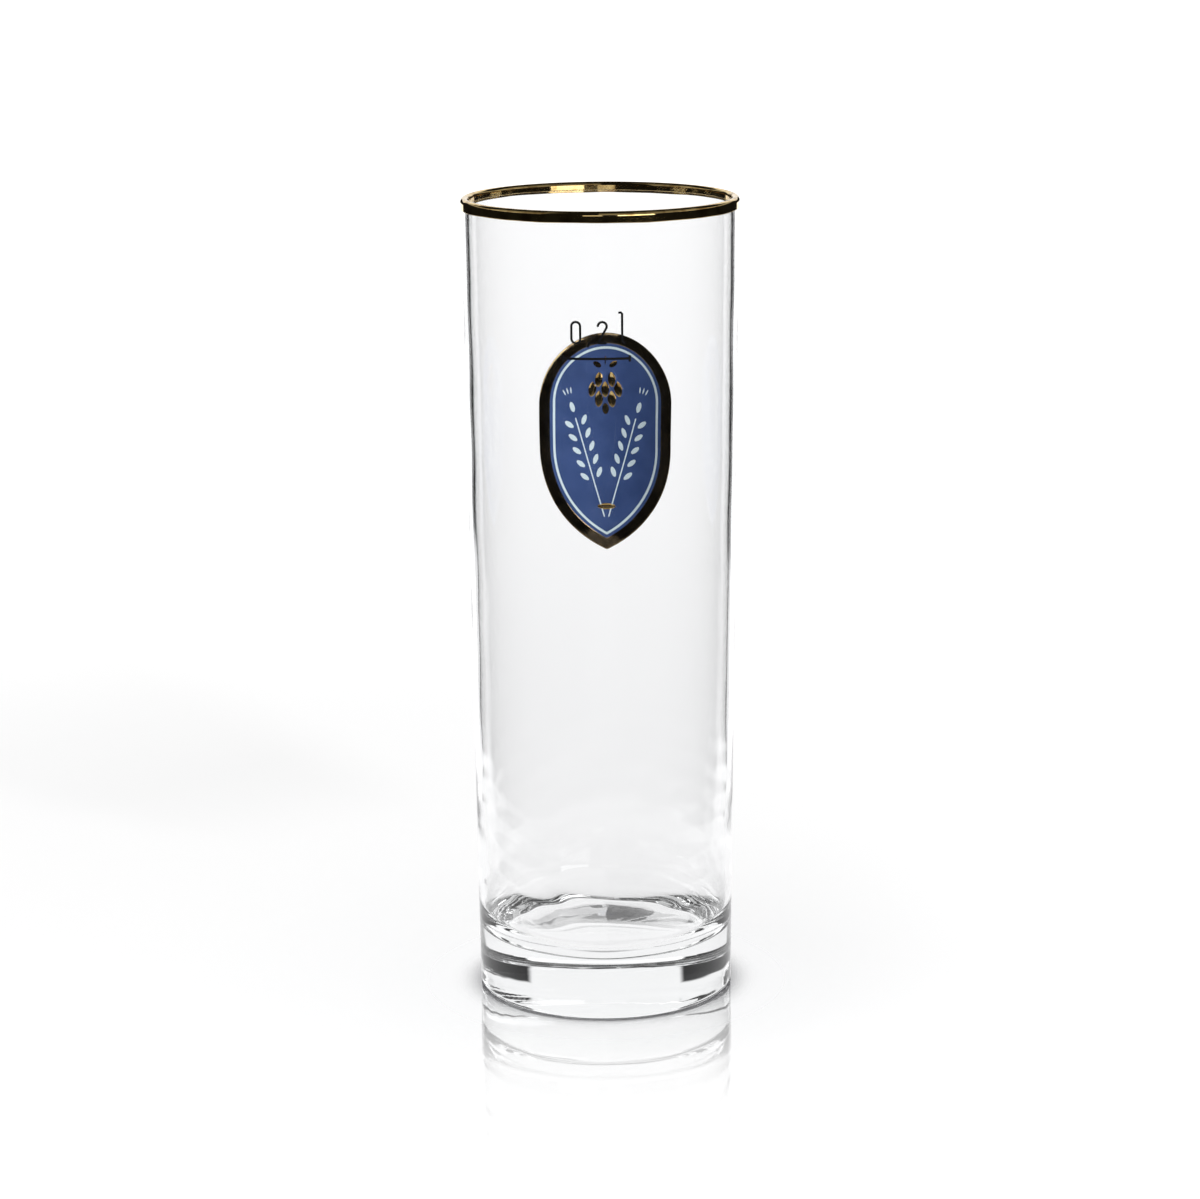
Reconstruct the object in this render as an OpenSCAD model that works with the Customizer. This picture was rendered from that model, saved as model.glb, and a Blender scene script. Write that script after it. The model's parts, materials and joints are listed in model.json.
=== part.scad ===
// Slim, nearly straight beer glass with a thick foot, a gilded lip, a fired shield emblem
// and a fill mark. Z is the glass's axis and Z = 0 is the table. The fill mark faces -Y and
// the emblem faces +Y. Lengths are in millimetres.

/* [Glass] */
// Drink that the glass holds up to its fill line, in millilitres
capacity_ml = 200; // [100:5:400]
// Height of the lip above the fill line
head_room = 26.3; // [18:0.1:50]
// Diameter that the wall would have at the table
foot_d = 48.6; // [44:0.1:70]
// Outward lean of the wall, in degrees
wall_lean = 0.56; // [0:0.01:2]
// Thickness of the wall, square to its face
wall_t = 1.4; // [1:0.1:2.5]
// Thickness of the foot, from the table to the inner floor
floor_t = 10.4; // [6:0.1:16]
// Radius of the corner between the inner floor and the wall
corner_r = 6.5; // [2:0.1:12]
// Radius of the rounded heel
heel_r = 0.9; // [0.5:0.1:3.5]
// Width of the flat ring that the glass stands on
bearing_w = 2; // [1:0.1:6]
// Height of the hollow under the foot
punt_h = 0.8; // [0.4:0.1:3]

/* [Gilding] */
// Thickness of the gold on the lip
gold_t = 0.08; // [0.05:0.01:0.2]
// Depth of the gold band on the outside, from the top of the lip
gold_out = 2; // [1.2:0.1:5]
// Depth of the gold band on the inside, from the top of the lip
gold_in = 1.5; // [1.2:0.1:5]

/* [Emblem] */
// Width of the shield
emblem_w = 26.6; // [20:0.1:32]
// Height of the shield
emblem_h = 43; // [38:0.1:52]
// Height of the straight part of the shield's sides
side_h = 9; // [4:0.1:12]
// Distance from the lip down to the top of the shield
emblem_drop = 29.2; // [12:0.1:60]
// Width of the gold frame
border_w = 2.1; // [1:0.1:3]
// Width of the blue edge between the gold frame and the white line
edge_w = 0.5; // [0.3:0.1:1]
// Width of the white line
line_w = 0.6; // [0.3:0.1:1]
// Free room round the ears and the hop cone
motif_gap = 0.5; // [0.2:0.1:1]
// Thickness of the enamel colours
enamel_t = 0.1; // [0.05:0.01:0.3]
// Thickness of the gold frame, which stands in relief
relief_t = 0.2; // [0.1:0.01:0.4]

/* [Barley and hop] */
// Length of a grain
grain_l = 3.9; // [2.6:0.1:4.2]
// Width of a grain
grain_w = 1.4; // [0.8:0.1:1.5]
// Angle between a grain and its stem, in degrees
grain_splay = 36; // [34:1:42]
// Spacing of the grains along the stem
grain_step = 2.7; // [2.6:0.1:3]
// Pairs of grains on an ear
grain_pairs = 5; // [3:1:5]
// Length of a bristle at the tip of an ear
awn_l = 2.4; // [1.5:0.1:3]
// Width of a bristle and of a stem
stem_w = 0.4; // [0.2:0.05:0.6]
// Gap between the strokes of a figure
stroke_gap = 0.2; // [0.15:0.05:0.3]
// Height of the stems' feet above the point of the shield
stem_rise = 6.5; // [6:0.1:8]
// Distance from the shield's shoulder down to the tips of the stems
stem_drop = 3; // [2:0.1:4]
// Height of the band round the two stems
band_h = 1.5; // [0.8:0.1:2]
// Width of the hop cone
hop_w = 6.6; // [5:0.1:7]
// Length of a scale of the hop cone
scale_l = 3.8; // [3.2:0.1:4]

/* [Fill mark] */
// Length of the fill line
fill_w = 12.4; // [8:0.1:20]
// Thickness of the stroke of the fill line
fill_stroke = 0.45; // [0.2:0.05:0.8]
// Height of the ticks at its ends
tick_h = 1.25; // [0.8:0.05:3]

/* [Hidden] */
$fn = 96;

glass_colour = [0.93, 0.95, 0.96, 0.35];
gold_colour = [0.72, 0.53, 0.2];
blue_colour = [0.1, 0.16, 0.42];
white_colour = [0.94, 0.95, 0.97];
black_colour = [0.04, 0.04, 0.05];

// The wall: its slope, its thickness measured level, and its outer and inner radius at height z
slope = tan(wall_lean);
wall_level = wall_t / cos(wall_lean);
function outer_r(z) = foot_d / 2 + slope * z;
function inner_r(z) = outer_r(z) - wall_level;

// Fill height: the inner cone, less what the rounded corner takes up, holds the capacity.
// The corner's spandrel has the area (1 - PI/4) r^2 and its centroid (10 - 3 PI)/(12 - 3 PI) r in.
floor_r = inner_r(floor_t);
spandrel_in = (10 - 3 * PI) / (12 - 3 * PI) * corner_r;
spandrel = (1 - PI / 4) * corner_r ^ 2 * 2 * PI * (floor_r - spandrel_in);
cone_volume = capacity_ml * 1000 + spandrel;
cone_top_r = (floor_r ^ 3 + 3 * slope * cone_volume / PI) ^ (1 / 3);
fill_depth = slope == 0 ? cone_volume / (PI * floor_r ^ 2) : (cone_top_r - floor_r) / slope;
fill_z = floor_t + fill_depth;

// The lip is a half round across the wall, so its centre lies half a wall below the lip's top
lip_z = fill_z + head_room;
lip_r = wall_t / 2;
lip_centre = [outer_r(lip_z - lip_r) - lip_r / cos(wall_lean), lip_z - lip_r];

// The heel and the inner corner: circles that touch the wall and a level face
heel_centre = [outer_r(heel_r) - heel_r / cos(wall_lean), heel_r];
corner_z = floor_t + corner_r;
corner_centre = [inner_r(corner_z) - corner_r / cos(wall_lean), corner_z];

// The hollow under the foot: a ball that meets the table at the bearing ring
punt_r = heel_centre.x - bearing_w;
punt_ball_r = (punt_r ^ 2 + punt_h ^ 2) / (2 * punt_h);

// The shield: a half disc down to the shoulder, straight sides down to the hip, and a tail
// between two arcs
half_w = emblem_w / 2;
emblem_top = lip_z - emblem_drop;
shoulder_z = emblem_top - half_w;
hip_z = shoulder_z - side_h;
tail_h = emblem_h - half_w - side_h;
side_r = (half_w ^ 2 + tail_h ^ 2) / (2 * half_w);
side_x = side_r - half_w;
line_inset = border_w + edge_w;
field_inset = line_inset + line_w;

// The ears: two straight stems that lean apart, from near the shield's point to below its shoulder
ear_reach = stem_w / 2 + stroke_gap + grain_l * sin(grain_splay) + grain_w / 2;
ear_tip = [half_w - field_inset - motif_gap - ear_reach, shoulder_z - stem_drop];
ear_foot = [stem_w / 2 + stroke_gap, emblem_top - emblem_h + stem_rise];
stem_l = norm(ear_tip - ear_foot);
ear_lean = atan2(ear_tip.x - ear_foot.x, ear_tip.y - ear_foot.y);
awn_fan = 12;

// The band lies across both stems, a little above their feet
band_rise = 1.5 * band_h;
band_w = 2 * (ear_foot.x + band_rise * tan(ear_lean) + band_h);

// The hop cone: rows of hanging scales, from the top down, the outer ones turned outwards.
// Its stalk and two leaves stand on the top row, under the white line.
hop_rows = [2, 3, 2, 1];
scale_turn = 12;
scale_pitch = hop_w / 3;
scale_w = scale_pitch - stroke_gap;
row_pitch = scale_l / 2;
leaf_turn = 58;
leaf_l = hop_w / 2;
leaf_w = leaf_l / 2.2;
leaf_root = emblem_top - field_inset - motif_gap - leaf_l;
hop_top = leaf_root - stroke_gap;

// Room past a drawing: from the axis out through the wall, and above and below a film
reach = 2 * outer_r(lip_z);
spare = 1;

echo(fill_height = fill_z, lip_height = lip_z, lip_diameter = 2 * outer_r(lip_z));

// Point on the wall's outer or inner face that is square to the centre of a circle touching it
function touch(centre, r) = centre + r * [cos(wall_lean), -sin(wall_lean)];

// Half of the glass's cross-section without the hollow: heel, wall and lip
module outside_2d() {
    polygon([[0, 0], [heel_centre.x, 0], heel_centre, touch(heel_centre, heel_r),
             touch(lip_centre, lip_r), lip_centre, [0, lip_centre.y]]);
    translate(heel_centre) circle(heel_r);
    translate(lip_centre) circle(lip_r);
}

// Half of the cross-section of the space for the drink
module inside_2d() {
    polygon([[0, floor_t], [corner_centre.x, floor_t], corner_centre, touch(corner_centre, corner_r),
             touch(lip_centre, -lip_r), lip_centre + [-lip_r, lip_r], [0, lip_z]]);
    translate(corner_centre) circle(corner_r);
}

module glass_body() {
    color(glass_colour)
        difference() {
            rotate_extrude()
                difference() {
                    outside_2d();
                    inside_2d();
                }
            translate([0, 0, punt_h - punt_ball_r]) sphere(punt_ball_r);
        }
}

// The gold follows the lip in the wall's own leaning frame: a half ring with two skirts
module gold_rim() {
    color(gold_colour)
        rotate_extrude()
            translate(lip_centre) rotate(-wall_lean) {
                intersection() {
                    difference() {
                        circle(lip_r + gold_t);
                        circle(lip_r);
                    }
                    translate([-wall_t, 0]) square([2 * wall_t, wall_t]);
                }
                translate([lip_r, lip_r - gold_out]) square([gold_t, gold_out - lip_r]);
                translate([-lip_r - gold_t, lip_r - gold_in]) square([gold_t, gold_in - lip_r]);
            }
}

// A fired film of thickness t on the wall: the drawing in children, put through the wall's skin.
// The drawing's X runs to the right as seen from outside, its Y is the height, and turn is 0 for
// the face towards -Y and 180 for the one towards +Y.
module film(t, low, high, turn) {
    intersection() {
        rotate_extrude()
            polygon([[outer_r(low), low], [outer_r(low) + t, low],
                     [outer_r(high) + t, high], [outer_r(high), high]]);
        rotate([90, 0, turn]) linear_extrude(reach) children();
    }
}

module emblem_film(t) {
    film(t, emblem_top - emblem_h - spare, emblem_top + spare, 180) children();
}

// Pointed oval between two arcs, standing on the origin: a grain, a bristle, a scale or a leaf
module pointed_oval(length, width) {
    arc_r = (length ^ 2 + width ^ 2) / (4 * width);
    translate([0, length / 2])
        intersection() {
            translate([arc_r - width / 2, 0]) circle(arc_r);
            translate([width / 2 - arc_r, 0]) circle(arc_r);
        }
}

// The shield's outline, drawn in by inset all round
module shield_2d(inset) {
    translate([0, shoulder_z])
        intersection() {
            circle(half_w - inset);
            translate([-half_w, 0]) square([emblem_w, half_w]);
        }
    translate([inset - half_w, hip_z]) square([emblem_w - 2 * inset, side_h]);
    translate([0, hip_z])
        intersection() {
            translate([-side_x, 0]) circle(side_r - inset);
            translate([side_x, 0]) circle(side_r - inset);
            translate([-half_w, -tail_h]) square([emblem_w, tail_h]);
        }
}

module shield_ring_2d(from, to) {
    difference() {
        shield_2d(from);
        shield_2d(to);
    }
}

// One ear of barley, upright on the origin: stem, pairs of grains, tip grain and bristles
module upright_ear_2d() {
    translate([-stem_w / 2, 0]) square([stem_w, stem_l - stroke_gap]);
    for (i = [1 : grain_pairs], side = [-1, 1])
        translate([-side * (stem_w / 2 + stroke_gap), stem_l - i * grain_step])
            rotate(side * grain_splay) pointed_oval(grain_l, grain_w);
    translate([0, stem_l]) pointed_oval(grain_l, grain_w);
    for (fan = [-awn_fan, 0, awn_fan])
        translate([0, stem_l + grain_l / 2])
            rotate(fan) translate([0, grain_l / 2 + stroke_gap]) pointed_oval(awn_l, stem_w);
}

module ears_2d() {
    for (side = [-1, 1])
        translate([side * ear_foot.x, ear_foot.y]) rotate(-side * ear_lean) upright_ear_2d();
}

module band_2d() {
    translate([band_w / 2, ear_foot.y + band_rise]) rotate(90) pointed_oval(band_w, band_h);
}

// One row of the hop cone's scales, grown all round for cutting the rows below
module scale_row_2d(row, grow) {
    last = hop_rows[row] - 1;
    for (i = [0 : last]) {
        place = i - last / 2;
        translate([place * scale_pitch, hop_top - row * row_pitch])
            rotate(180 + place * scale_turn)
                translate([0, -grow]) pointed_oval(scale_l + 2 * grow, scale_w + 2 * grow);
    }
}

module hop_2d() {
    for (row = [0 : len(hop_rows) - 1])
        difference() {
            scale_row_2d(row, 0);
            for (above = [0 : 1 : row - 1]) scale_row_2d(above, stroke_gap);
        }
    translate([0, leaf_root]) {
        for (side = [-1, 1])
            translate([side * stroke_gap, 0]) rotate(-side * leaf_turn) pointed_oval(leaf_l, leaf_w);
        pointed_oval(leaf_l, stem_w);
    }
}

module shield_border() {
    color(gold_colour) emblem_film(relief_t) shield_ring_2d(0, border_w);
}

module shield_line() {
    color(white_colour) emblem_film(enamel_t) shield_ring_2d(line_inset, field_inset);
}

// The blue lies beside the other colours, not under them, so each shows from inside too
module shield_field() {
    color(blue_colour)
        emblem_film(enamel_t)
            difference() {
                shield_2d(border_w);
                shield_ring_2d(line_inset, field_inset);
                ears_2d();
                hop_2d();
                band_2d();
            }
}

module barley_ears() {
    color(white_colour)
        emblem_film(enamel_t)
            difference() {
                ears_2d();
                band_2d();
            }
}

module hop_cone() {
    color(gold_colour) emblem_film(enamel_t) hop_2d();
}

module stem_band() {
    color(gold_colour) emblem_film(enamel_t) band_2d();
}

module fill_line() {
    color(black_colour)
        film(enamel_t, fill_z - tick_h / 2 - spare, fill_z + tick_h / 2 + spare, 0) {
            translate([-fill_w / 2, fill_z - fill_stroke / 2]) square([fill_w, fill_stroke]);
            for (side = [-1, 1])
                translate([side * (fill_w - fill_stroke) / 2 - fill_stroke / 2, fill_z - tick_h / 2])
                    square([fill_stroke, tick_h]);
        }
}

glass_body();
gold_rim();
shield_border();
shield_field();
shield_line();
barley_ears();
hop_cone();
stem_band();
fill_line();
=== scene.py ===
import json
import math

import bpy
import numpy as np
from mathutils import Matrix, Vector

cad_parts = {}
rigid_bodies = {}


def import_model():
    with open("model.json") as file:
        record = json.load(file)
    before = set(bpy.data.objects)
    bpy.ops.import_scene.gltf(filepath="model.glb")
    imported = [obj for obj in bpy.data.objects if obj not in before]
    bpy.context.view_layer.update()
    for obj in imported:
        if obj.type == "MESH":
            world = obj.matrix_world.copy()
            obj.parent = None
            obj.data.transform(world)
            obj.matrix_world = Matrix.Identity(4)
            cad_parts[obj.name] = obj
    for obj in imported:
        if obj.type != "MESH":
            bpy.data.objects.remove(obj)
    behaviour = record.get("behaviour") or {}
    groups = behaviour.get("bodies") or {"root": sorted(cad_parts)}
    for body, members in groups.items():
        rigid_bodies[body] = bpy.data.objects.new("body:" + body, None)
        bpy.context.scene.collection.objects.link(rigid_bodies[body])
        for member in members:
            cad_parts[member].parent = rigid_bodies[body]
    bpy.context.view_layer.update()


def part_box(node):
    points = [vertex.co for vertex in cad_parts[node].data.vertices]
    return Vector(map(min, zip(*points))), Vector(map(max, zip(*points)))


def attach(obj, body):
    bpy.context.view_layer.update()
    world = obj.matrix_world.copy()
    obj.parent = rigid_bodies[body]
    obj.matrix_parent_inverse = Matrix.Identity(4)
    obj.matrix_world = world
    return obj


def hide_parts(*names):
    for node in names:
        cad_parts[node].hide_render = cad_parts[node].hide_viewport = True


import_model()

MM = 0.001
FRONT = -1
BACK = 1
QUARTER = math.pi / 2
ROUND = 2 * math.pi

# The glass, in metres
FOOT_R = 24.3 * MM
WALL_LEAN = math.radians(0.56)
WALL_T = 1.4 * MM
FLOOR_T = 10.4 * MM
CORNER_R = 6.5 * MM
HEEL_R = 0.9 * MM
BEARING_W = 2.0 * MM
BEARING_EDGE = 0.3 * MM
PUNT_H = 0.8 * MM
LIP_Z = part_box("glass_body")[1][2]
LIP_R = WALL_T / 2
SLOPE = math.tan(WALL_LEAN)

# The steps round the glass and along each stretch of its section
GLASS_STEPS = 224
PUNT_STEPS, BEARING_STEPS, HEEL_STEPS, LIP_STEPS = 24, 5, 18, 24
OUTER_STEPS, INNER_STEPS, CORNER_STEPS, FLOOR_STEPS = 60, 170, 36, 26

# The waves in the glass: how high they stand and where they fade
RIPPLE_ALL, RIPPLE_LOW, RIPPLE_FINE = 0.010 * MM, 0.035 * MM, 0.017 * MM
RIPPLE_FOOT, RIPPLE_HEEL = 0.03 * MM, 0.02 * MM
RIPPLE_R_START, RIPPLE_R_END = 12 * MM, 20 * MM
LOW_WALL_START, LOW_WALL_END = 15 * MM, 65 * MM
UNDER_START, UNDER_END = 2 * MM, 5 * MM
BEARING_FADE = 0.2 * MM
LIP_FADE_START, LIP_FADE_END = LIP_Z - 20 * MM, LIP_Z - 4 * MM
# Each slow wave: its share, its number round the glass, its turn per metre up and out, its start
SLOW_WAVES = ((1.0, 3, 140, 0, 0.7), (0.7, 5, -210, 0, 2.0), (0.5, 8, 330, 420, 0))
FINE_UP, FINE_ROUND, FINE_SWAY, FINE_SWAY_ROUND = 1150, 4, 2, 3
SWIRL_OUT, SWIRL_ROUND, SWIRL_SWAY, SWIRL_SWAY_ROUND = 1500, 26, 3, 5

# The gilding on the lip
GOLD_T = 0.07 * MM
GOLD_SUNK = 0.025 * MM
GOLD_OUT = LIP_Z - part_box("gold_rim")[0][2]
GOLD_IN = 1.5 * MM
GOLD_EDGE = 0.06 * MM
GOLD_WAVER = 0.05 * MM
GOLD_WAVES = ((1.0, 3, 0, 0, 0.6), (0.6, 8, 0, 0, 2.1), (0.4, 17, 0, 0, 0))
GOLD_OUT_STEPS, GOLD_CROWN_STEPS, GOLD_IN_STEPS = 24, 32, 20

# The emblem: its outline comes from the frame's own box
EMBLEM_LOW, EMBLEM_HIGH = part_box("shield_border")
HALF_W = 13.3 * MM
EMBLEM_TOP = EMBLEM_HIGH[2]
EMBLEM_FOOT = EMBLEM_LOW[2]
SIDE_H = 9.0 * MM
SHOULDER_Z = EMBLEM_TOP - HALF_W
HIP_Z = SHOULDER_Z - SIDE_H
TAIL_H = HIP_Z - EMBLEM_FOOT
TAIL_R = (HALF_W ** 2 + TAIL_H ** 2) / (2 * HALF_W)
TAIL_X = TAIL_R - HALF_W
BORDER_W = 2.1 * MM
EDGE_W = 0.5 * MM
LINE_W = 0.6 * MM
LINE_INSET = BORDER_W + EDGE_W
FIELD_INSET = LINE_INSET + LINE_W
MOTIF_GAP = 0.5 * MM

# The steps along the emblem's outlines and strokes, and how round their edges are
SHOULDER_STEPS, SIDE_STEPS, TAIL_STEPS = 40, 16, 50
BORDER_STEPS, BORDER_ROUNDNESS = 48, 0.15
LINE_STEPS, LINE_ROUNDNESS = 24, 0.35
SHEET_STEPS, SHEET_START = 30, 0.02
STROKE_ROWS, STROKE_STEPS, STROKE_ROUNDNESS = 28, 16, 0.5

# The barley ears and their band
GRAIN_L = 3.9 * MM
GRAIN_W = 1.4 * MM
GRAIN_SPLAY = math.radians(36)
GRAIN_STEP = 2.7 * MM
GRAIN_PAIRS = 5
AWN_L = 2.4 * MM
AWN_FAN = math.radians(12)
STEM_W = 0.4 * MM
STROKE_GAP = 0.2 * MM
BESIDE_STEM = STEM_W / 2 + STROKE_GAP
STEM_RISE = 6.5 * MM
STEM_DROP = 3.0 * MM
BAND_H = 1.5 * MM
BAND_RISE = 1.5 * BAND_H

# The hop cone
HOP_W = 6.6 * MM
HOP_ROWS = (2, 3, 2, 1)
SCALE_L = 3.8 * MM
SCALE_PITCH = HOP_W / max(HOP_ROWS)
SCALE_W = SCALE_PITCH - STROKE_GAP
SCALE_TURN = math.radians(12)
ROW_PITCH = SCALE_L / 2
LEAF_L = HOP_W / 2
LEAF_SLIMNESS = 2.2
LEAF_W = LEAF_L / LEAF_SLIMNESS
LEAF_TURN = math.radians(58)
LEAF_ROOT = EMBLEM_TOP - FIELD_INSET - MOTIF_GAP - LEAF_L

# How far each fired colour stands out of the wall, and how far it is fused into it
FIELD_OUT, FIELD_SUNK = 0.06 * MM, 0.020 * MM
LINE_OUT, LINE_SUNK = 0.09 * MM, 0.030 * MM
MOTIF_OUT, MOTIF_SUNK = 0.10 * MM, 0.030 * MM
ROW_LIFT = 0.016 * MM
BORDER_OUT, BORDER_SUNK = 0.18 * MM, 0.045 * MM
MARK_OUT, MARK_SUNK = 0.06 * MM, 0.020 * MM

# The fill mark and its figures
MARK_LOW, MARK_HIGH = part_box("fill_line")
MARK_Z = (MARK_LOW[2] + MARK_HIGH[2]) / 2
MARK_W = MARK_HIGH[0] - MARK_LOW[0]
MARK_STROKE = 0.45 * MM
TICK_H = 1.25 * MM
FIGURE_STROKE = 0.42 * MM
FIGURE_Z = MARK_Z + 2.62 * MM
FIGURE_H = 4.25 * MM
FIGURE_W = 2.0 * MM
LITRE_H = 5.9 * MM
NOUGHT_X = -3.65 * MM
COMMA_X = -1.35 * MM
TWO_X = 1.1 * MM
LITRE_X = 4.65 * MM

# The figures' strokes: the bend of the two, shares of half a figure's width, and steps
HOOK_START, HOOK_END = math.radians(190), math.radians(-28)
COMMA_LEAN, COMMA_RISE, COMMA_DROP = 1 / 4, 1 / 3, 1
CURL, FLAG = 0.7, 0.9
NOUGHT_STEPS, NOUGHT_SIDE_STEPS = 24, 10
COMMA_STEPS = 20
HOOK_STEPS, DIAGONAL_STEPS, TWO_FOOT_STEPS = 30, 24, 24
LITRE_STEPS, CURL_STEPS, FLAG_STEPS = 40, 14, 20
RIBBON_STEPS, RIBBON_END = 14, 0.05

# The photograph's camera
CAMERA_LENS = 99.42
CAMERA_SENSOR = 36.0
CAMERA_BACK = 613.0 * MM
CAMERA_UP = 219.6 * MM
CAMERA_ASIDE = -0.58 * MM
CAMERA_TURN = math.radians(2.0)
CAMERA_PITCH = math.radians(13.23)
CAMERA_ROLL = math.radians(-0.463)


# Curves in the plane


def line(start, end, count):
    """Straight run of points: start plus an even share of the way to end."""
    share = np.linspace(0, 1, count)[:, None]
    return np.asarray(start) * (1 - share) + np.asarray(end) * share


def arc(centre, radius, start, end, count):
    """Round run of points: the centre plus the radius times the cosine and sine of an even angle."""
    angle = np.linspace(start, end, count)
    return np.asarray(centre) + radius * np.stack([np.cos(angle), np.sin(angle)], axis=-1)


def rounded(distance, radius):
    """Height of a quarter round: the root of 1 less the square of 1 less distance over radius, up to 1."""
    return np.sqrt(1 - (1 - np.clip(distance / radius, 0, 1)) ** 2)


def smooth(value, low, high):
    """Smooth step: 3 t squared less 2 t cubed, with t running from 0 at low to 1 at high."""
    t = np.clip((value - low) / (high - low), 0, 1)
    return t * t * (3 - 2 * t)


def once_round(steps):
    """Even angles once round, without the end, which is the start again."""
    return np.linspace(0, ROUND, steps, endpoint=False)


def waves(angle, r, z, parts):
    """Sum of sine waves: the share of each part times the sine of its number times the angle, plus its
    turns per metre times the height and the radius, plus its start."""
    return sum(share * np.sin(number * angle + up * z + out * r + start)
               for share, number, up, out, start in parts)


# Surfaces and pieces


def skin(rings, looped):
    """Points and faces of closed surfaces given as (surface, row, step round the row, xyz).

    Squares join each row to the next one. The first and last row close in a pole at their own middle,
    or are joined to each other when the rows are looped. The faces are turned outwards: the sum over
    them of first corner times second corner cross third corner, six times the volume, is positive.
    """
    count, rows, around, _ = rings.shape
    row = np.arange(rows if looped else rows - 1)[:, None]
    col = np.arange(around)[None, :]
    here, there, after = row * around, (row + 1) % rows * around, (col + 1) % around
    squares = np.stack([here + col, here + after, there + after, there + col], axis=-1).reshape(-1, 4)
    faces = [squares]
    points = rings.reshape(count, rows * around, 3)
    if not looped:
        first, last = rows * around, rows * around + 1
        edge, beside, end = col[0], after[0], (rows - 1) * around
        faces.append(np.stack([np.full(around, first), beside, edge], axis=-1))
        faces.append(np.stack([end + edge, end + beside, np.full(around, last)], axis=-1))
        points = np.concatenate([points, rings[:, [0, -1]].mean(axis=2)], axis=1)
    a, b, c, d = (points[0][squares[:, k]] for k in range(4))
    volume = np.sum(a * np.cross(b, c)) + np.sum(a * np.cross(c, d))
    if volume < 0:
        faces = [group[:, ::-1] for group in faces]
    shift = (np.arange(count) * points.shape[1])[:, None, None]
    return points.reshape(-1, 3), [(group + shift).reshape(-1, group.shape[1]) for group in faces]


def mesh_piece(name, *surfaces):
    """One smooth mesh object at the origin from surfaces, each given as (rings, looped)."""
    points, faces, start = [], [], 0
    for rings, looped in surfaces:
        batch = rings if rings.ndim == 4 else rings[None]
        part, groups = skin(batch, looped)
        points.append(part)
        for group in groups:
            faces += (group + start).tolist()
        start += len(part)
    mesh = bpy.data.meshes.new(name)
    mesh.from_pydata(np.concatenate(points).tolist(), [], faces)
    mesh.polygons.foreach_set("use_smooth", np.ones(len(mesh.polygons), bool))
    mesh.update()
    piece = bpy.data.objects.new(name, mesh)
    bpy.context.scene.collection.objects.link(piece)
    return piece


def dress(piece, finish, slot, *nodes):
    """Gives a piece its finish, lets it ride on the glass and stand for its solids. The slot is not used."""
    piece.data.materials.append(finish)
    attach(piece, "root")
    if nodes:
        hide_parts(*nodes)
    return piece


def turned(profile, steps):
    """Surface of revolution: each profile point (radius, height) carried round the axis in even steps."""
    angle = once_round(steps)
    radius, height = profile[:, :1], profile[:, 1:]
    return np.stack([radius * np.cos(angle), radius * np.sin(angle), height + 0 * angle], axis=-1)


def wall_radius(z):
    """Outer radius of the glass: the foot's radius plus the height times the wall's slope."""
    return FOOT_R + SLOPE * z


def on_wall(x, z, lift, side):
    """Puts a flat drawing on the wall: x stays square across, y is the root of the wall's radius squared
    less x squared, on the front or the back, and lift moves the point out along its radius."""
    radius = wall_radius(z)
    y = side * np.sqrt(radius ** 2 - x ** 2)
    grow = 1 + lift / radius
    return np.stack(np.broadcast_arrays(x * grow, y * grow, z), axis=-1)


# The clear body


def lip_centre():
    """Middle of the lip's half round, half a wall below the top and half a wall inside the wall."""
    z = LIP_Z - LIP_R
    return np.array([wall_radius(z) - LIP_R / math.cos(WALL_LEAN), z])


def glass_outline():
    """Half section of the glass, from the axis under the foot over the lip to the axis on the floor:
    a shallow arc, the bearing ring, the heel's quarter round, the wall, the lip's half round, the
    inner wall, the corner's quarter round and the floor. Also returns where the inner wall starts."""
    lean = WALL_LEAN
    heel_x = wall_radius(HEEL_R) - HEEL_R / math.cos(lean)
    corner_z = FLOOR_T + CORNER_R
    corner_x = wall_radius(corner_z) - (WALL_T + CORNER_R) / math.cos(lean)
    punt_r = heel_x - BEARING_W
    ball_r = (punt_r ** 2 + PUNT_H ** 2) / (2 * PUNT_H)
    punt = arc((0, PUNT_H - ball_r), ball_r, QUARTER, QUARTER - math.asin(punt_r / ball_r), PUNT_STEPS)[1:-1]
    bearing = line((punt_r + BEARING_EDGE, 0), (heel_x, 0), BEARING_STEPS)[:-1]
    heel = arc((heel_x, HEEL_R), HEEL_R, -QUARTER, -lean, HEEL_STEPS)
    lip = arc(lip_centre(), LIP_R, -lean, math.pi - lean, LIP_STEPS)
    corner = arc((corner_x, corner_z), CORNER_R, -lean, -QUARTER, CORNER_STEPS)
    outer = line(heel[-1], lip[0], OUTER_STEPS)[1:-1]
    inner = line(lip[-1], corner[0], INNER_STEPS)[1:-1]
    floor = line(corner[-1], (0, FLOOR_T), FLOOR_STEPS)[1:-1]
    outside = np.concatenate([punt, bearing, heel, outer, lip])
    inside = np.concatenate([inner, corner, floor])
    return np.concatenate([outside, inside]), len(outside)


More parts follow.
